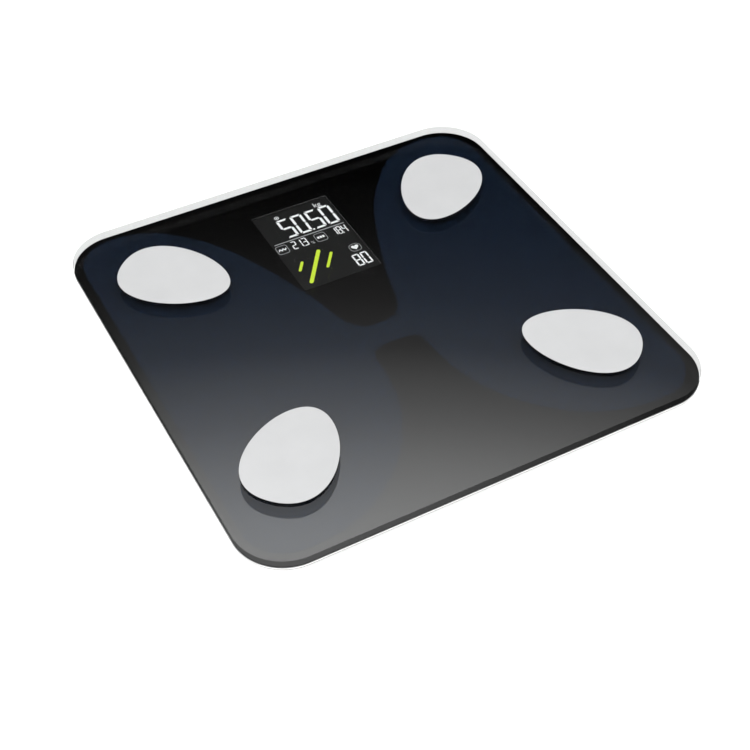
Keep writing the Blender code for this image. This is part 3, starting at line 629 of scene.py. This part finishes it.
def make_display():
    """The display's own face and what is lit on it. Places are in millimetres from its middle."""
    bottom = panel_high.z + 0.00004
    top = bottom + 0.00005
    white = lit("display_white", (0.88, 0.90, 0.91))
    grey = lit("display_grey", (0.33, 0.34, 0.35))
    lime = lit("display_lime", (0.57, 0.77, 0.034))
    # Where the photograph shows the figures, a little right of and behind the middle of the window.
    face_x, face_y = ART_X + 0.3 * MM, WINDOW_Y + 0.6 * MM

    def at(x, y):
        return (face_x + x * MM, face_y + y * MM)

    def number(text, starts, low, width, height, stroke):
        places = [face_x + x * MM for x in starts]
        return number_loops(text, places, face_y + low * MM, width * MM, height * MM, stroke * MM)

    figures = number("50.50", (-13.9, -4.0, 6.6, 16.6), 12.0, 8.4, 19.8, 1.75)
    figures += number("21.3", (-15.1, -11.4, -7.4), -0.1, 3.5, 8.1, 0.75)
    figures += number("18.4", (14.3, 18.05, 21.8), -0.1, 3.2, 8.1, 0.75)
    figures += number("80", (14.1, 19.9), -34.7, 4.9, 11.8, 1.1)
    digits = slab("display_digits", figures, bottom, top, white)

    icons = [zigzag_loop(5.6 * MM, 1.5 * MM, 1.35 * MM, at(-22.1, 3.4))]
    for step in (-1.85, 0.0, 1.85):
        icons.append(rounded_rect(1.5 * MM, 2.1 * MM, 0.3 * MM, at(5.7 + step, 3.4), 3))
    icons.append(heart_loop(5.4 * MM, at(20.6, -16.4)))
    icons += [circle(1.6 * MM, at(-11.6, 34.6), 28), circle(1.15 * MM, at(-11.6, 34.6), 28)]
    icons.append(circle(0.55 * MM, at(-11.6, 34.6), 16))
    pictograms = slab("display_pictograms", icons, bottom, top, white)

    lines = [rounded_rect(51.0 * MM, 0.75 * MM, 0.3 * MM, at(0.4, 9.5), 3)]
    for x in (-22.1, 5.7):
        lines += frame_loops(8.0 * MM, 8.6 * MM, 1.9 * MM, 0.38 * MM, at(x, 3.4))
    lines += frame_loops(8.0 * MM, 7.6 * MM, 3.0 * MM, 0.34 * MM, at(20.6, -16.7))
    rule = slab("display_rule", lines, bottom, top, grey)
    bars = [
        capsule(at(-21.1, -20.3), at(-16.6, -13.9), 1.9 * MM),
        capsule(at(-19.6, -33.6), at(-2.2, -8.6), 2.6 * MM),
        capsule(at(-3.7, -25.2), at(4.3, -14.1), 1.9 * MM),
    ]
    level = slab("display_bars", bars, bottom, top, lime)
    pale = lit("display_pale", (0.62, 0.63, 0.64))
    unit = text_piece("display_unit", "kg", 6.0 * MM, at(18.4, 33.0), pale, bottom, top)
    share = text_piece("display_percent", "%", 3.4 * MM, at(-1.2, -0.3), grey, bottom, top)
    for piece in (digits, pictograms, rule, level, unit, share):
        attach(piece, "platform")


# ---------------------------------------------------------------- carried-over CAD nodes
def dress(surface, *names):
    for name in names:
        node = nodes[name]
        node.data.materials.clear()
        node.data.materials.append(surface)


def dress_nodes():
    corner_names = [name for name, _, _ in CORNERS]
    white = moulded_plastic("tray_white", (0.78, 0.78, 0.77), 0.46)
    grey = moulded_plastic("foot_grey", (0.20, 0.21, 0.22), 0.5)
    black = moulded_plastic("plastic_black", (0.018, 0.018, 0.02), 0.5)
    plated = metal("plated_steel", (0.60, 0.60, 0.58), 0.36)
    dress(white, "base_tray", "battery_door", *("cell_retainer_" + c for c in corner_names))
    dress(grey, "unit_button", *("foot_" + c for c in corner_names))
    dress(rubber("foot_rubber", (0.022, 0.022, 0.024)), *("foot_pad_" + c for c in corner_names))
    dress(black, "display_frame", "unit_switch", "controller_chip")
    dress(plated, *(n for n in nodes if n.startswith(("load_cell", "board_screw", "contact"))))
    dress(moulded_plastic("tape_foam", (0.72, 0.72, 0.70), 0.85, 900.0, 0.00008), "platform_tape")
    dress(moulded_plastic("light_guide", (0.84, 0.86, 0.88), 0.35), "display_backlight")
    dress(moulded_plastic("board_mask", (0.015, 0.15, 0.06), 0.35, 500.0), "main_board")
    jacket = metal("battery_jacket", (0.05, 0.09, 0.20), 0.32, metallic=0.4)
    dress(jacket, *(n for n in nodes if n.startswith("battery_") and n[-1].isdigit()))
    pale = moulded_plastic("wire_white", (0.76, 0.76, 0.74), 0.45)
    dress(pale, *(n for n in nodes if n.startswith("cell_lead")))
    red = moulded_plastic("wire_red", (0.48, 0.03, 0.03), 0.45)
    dress(red, "battery_lead_positive", *(n for n in nodes if n.startswith("electrode_lead")))
    dress(moulded_plastic("wire_black", (0.02, 0.02, 0.02), 0.45), "battery_lead_negative")
    # The panel's grey comes from a faint glow: painted light, standing in for the room light that reaches
    # it through the glass.
    dress(lit("panel_painted_glow", (0.0105, 0.0107, 0.0107), 1.15), "display_panel")


# ---------------------------------------------------------------- studio
def make_world():
    """Soft studio light, with a dark screen behind the scale that fades out upwards."""
    world = bpy.data.worlds.new("studio")
    bpy.context.scene.world = world
    world.use_nodes = True
    tree = world.node_tree
    tree.nodes.clear()
    link = tree.links.new
    place = tree.nodes.new("ShaderNodeTexCoord")
    parts = tree.nodes.new("ShaderNodeSeparateXYZ")
    link(place.outputs["Generated"], parts.inputs["Vector"])

    ramp = tree.nodes.new("ShaderNodeValToRGB")
    elements = ramp.color_ramp.elements
    brightest = max(level for _, level in SCREEN_LEVELS)
    for element, (elevation, level) in zip(elements, (SCREEN_LEVELS[0], SCREEN_LEVELS[-1])):
        element.position = sin(radians(elevation))
        element.color = (level / brightest, level / brightest, level / brightest, 1.0)
    for elevation, level in SCREEN_LEVELS[1:-1]:
        element = elements.new(sin(radians(elevation)))
        element.color = (level / brightest, level / brightest, level / brightest, 1.0)
    link(parts.outputs["Z"], ramp.inputs["Fac"])

    flat = tree.nodes.new("ShaderNodeVectorMath")
    flat.operation = "MULTIPLY"
    flat.inputs[1].default_value = (1.0, 1.0, 0.0)
    link(place.outputs["Generated"], flat.inputs[0])
    heading = tree.nodes.new("ShaderNodeVectorMath")
    heading.operation = "NORMALIZE"
    link(flat.outputs["Vector"], heading.inputs[0])
    facing = tree.nodes.new("ShaderNodeVectorMath")
    facing.operation = "DOT_PRODUCT"
    facing.inputs[1].default_value = (-sin(radians(CAMERA_AZIMUTH)), cos(radians(CAMERA_AZIMUTH)), 0.0)
    link(heading.outputs["Vector"], facing.inputs[0])
    screen = tree.nodes.new("ShaderNodeMapRange")
    screen.interpolation_type = "SMOOTHSTEP"
    screen.inputs["From Min"].default_value = cos(radians(SCREEN_FADE_END))
    screen.inputs["From Max"].default_value = cos(radians(SCREEN_FADE_START))
    link(facing.outputs["Value"], screen.inputs["Value"])

    room = tree.nodes.new("ShaderNodeBackground")
    room.inputs["Color"].default_value = (ROOM_LEVEL, ROOM_LEVEL, ROOM_LEVEL, 1.0)
    behind = tree.nodes.new("ShaderNodeBackground")
    behind.inputs["Strength"].default_value = brightest
    link(ramp.outputs["Color"], behind.inputs["Color"])
    lighting = tree.nodes.new("ShaderNodeMixShader")
    link(screen.outputs["Result"], lighting.inputs["Fac"])
    link(room.outputs["Background"], lighting.inputs[1])
    link(behind.outputs["Background"], lighting.inputs[2])

    seen = tree.nodes.new("ShaderNodeBackground")
    seen.inputs["Color"].default_value = (1.0, 1.0, 1.0, 1.0)
    path = tree.nodes.new("ShaderNodeLightPath")
    mix = tree.nodes.new("ShaderNodeMixShader")
    link(path.outputs["Is Camera Ray"], mix.inputs["Fac"])
    link(lighting.outputs["Shader"], mix.inputs[1])
    link(seen.outputs["Background"], mix.inputs[2])
    out = tree.nodes.new("ShaderNodeOutputWorld")
    link(mix.outputs["Shader"], out.inputs["Surface"])


def make_floor():
    made, shader = shader_of("floor_paper", (0.90, 0.90, 0.90), 0.9)
    cloud = object_noise(made, 3.0, 3.0)
    shade = mixed(made, ranged(made, cloud, 0.0, 1.0), (0.90, 0.90, 0.90), (0.89, 0.89, 0.89))
    wire_up(made, shade, shader.inputs["Base Color"])
    shader.inputs["Emission Color"].default_value = (1.0, 1.0, 1.0, 1.0)
    shader.inputs["Emission Strength"].default_value = 0.25
    half, bottom, top = 4.0, -0.004, -0.0002
    corners = [(-half, -half), (half, -half), (half, half), (-half, half)]
    floor = slab("studio_floor", [corners], bottom, top, made)


def make_key():
    """One broad soft lamp from the front left."""
    lamp = bpy.data.lights.new("key", "SUN")
    lamp.energy = 1.4
    lamp.angle = radians(35)
    key = bpy.data.objects.new("key", lamp)
    bpy.context.scene.collection.objects.link(key)
    towards = Vector((0.45, 0.55, -1.6))
    key.rotation_euler = towards.to_track_quat("-Z", "Y").to_euler()


def make_camera():
    data = bpy.data.cameras.new("camera")
    data.lens = CAMERA_LENS
    data.clip_start = 0.01
    camera = bpy.data.objects.new("camera", data)
    bpy.context.scene.collection.objects.link(camera)
    azimuth, elevation = radians(CAMERA_AZIMUTH), radians(CAMERA_ELEVATION)
    outward = Vector((sin(azimuth) * cos(elevation), -cos(azimuth) * cos(elevation), sin(elevation)))
    camera.location = CAMERA_TARGET + outward * CAMERA_DISTANCE
    camera.rotation_euler = (-outward).to_track_quat("-Z", "Y").to_euler()
    bpy.context.scene.camera = camera


make_camera()
make_glass()
make_print()
make_rim()
make_electrodes()
make_display()
dress_nodes()
make_world()
make_floor()
make_key()
bpy.context.scene.view_settings.view_transform = "Standard"
bpy.context.scene.view_settings.look = "None"
